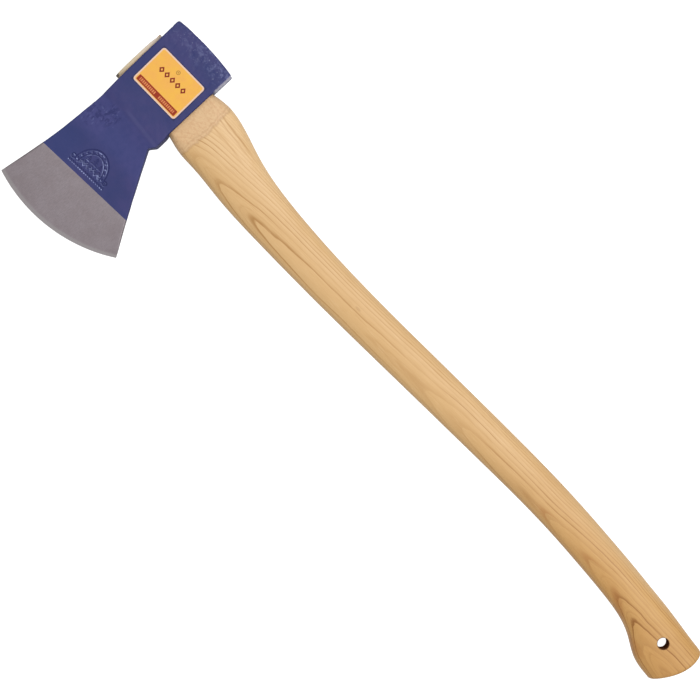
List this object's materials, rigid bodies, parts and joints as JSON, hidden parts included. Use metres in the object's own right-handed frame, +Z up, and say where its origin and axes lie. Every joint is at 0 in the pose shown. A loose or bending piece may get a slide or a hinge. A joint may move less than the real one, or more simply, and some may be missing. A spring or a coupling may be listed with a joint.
{
  "type": "felling axe",
  "caption": "Felling axe with a painted forged head, a bare ground bit and a curved wooden handle with a flared knob.",
  "frame": {"origin": "bottom centre of the whole axe, on the surface that it lies on", "axes": "+X along the handle from the head to the knob, +Y from the cutting edge to the poll, +Z up through the thickness of the head"},
  "size_m": [0.7112, 0.206, 0.0282],
  "materials": {
    "head_paint": "satin blue paint",
    "bare_steel": "ground bare steel",
    "handle_wood": "smooth oiled hardwood",
    "wedge_wood": "sawn hardwood",
    "label": "printed film"
  },
  "bodies": {
    "root": {"axe_head": "head_paint", "handle": "handle_wood", "wooden_wedge": "wedge_wood", "steel_ring_wedge": "bare_steel", "head_label": "label"}
  },
  "joints": []
}
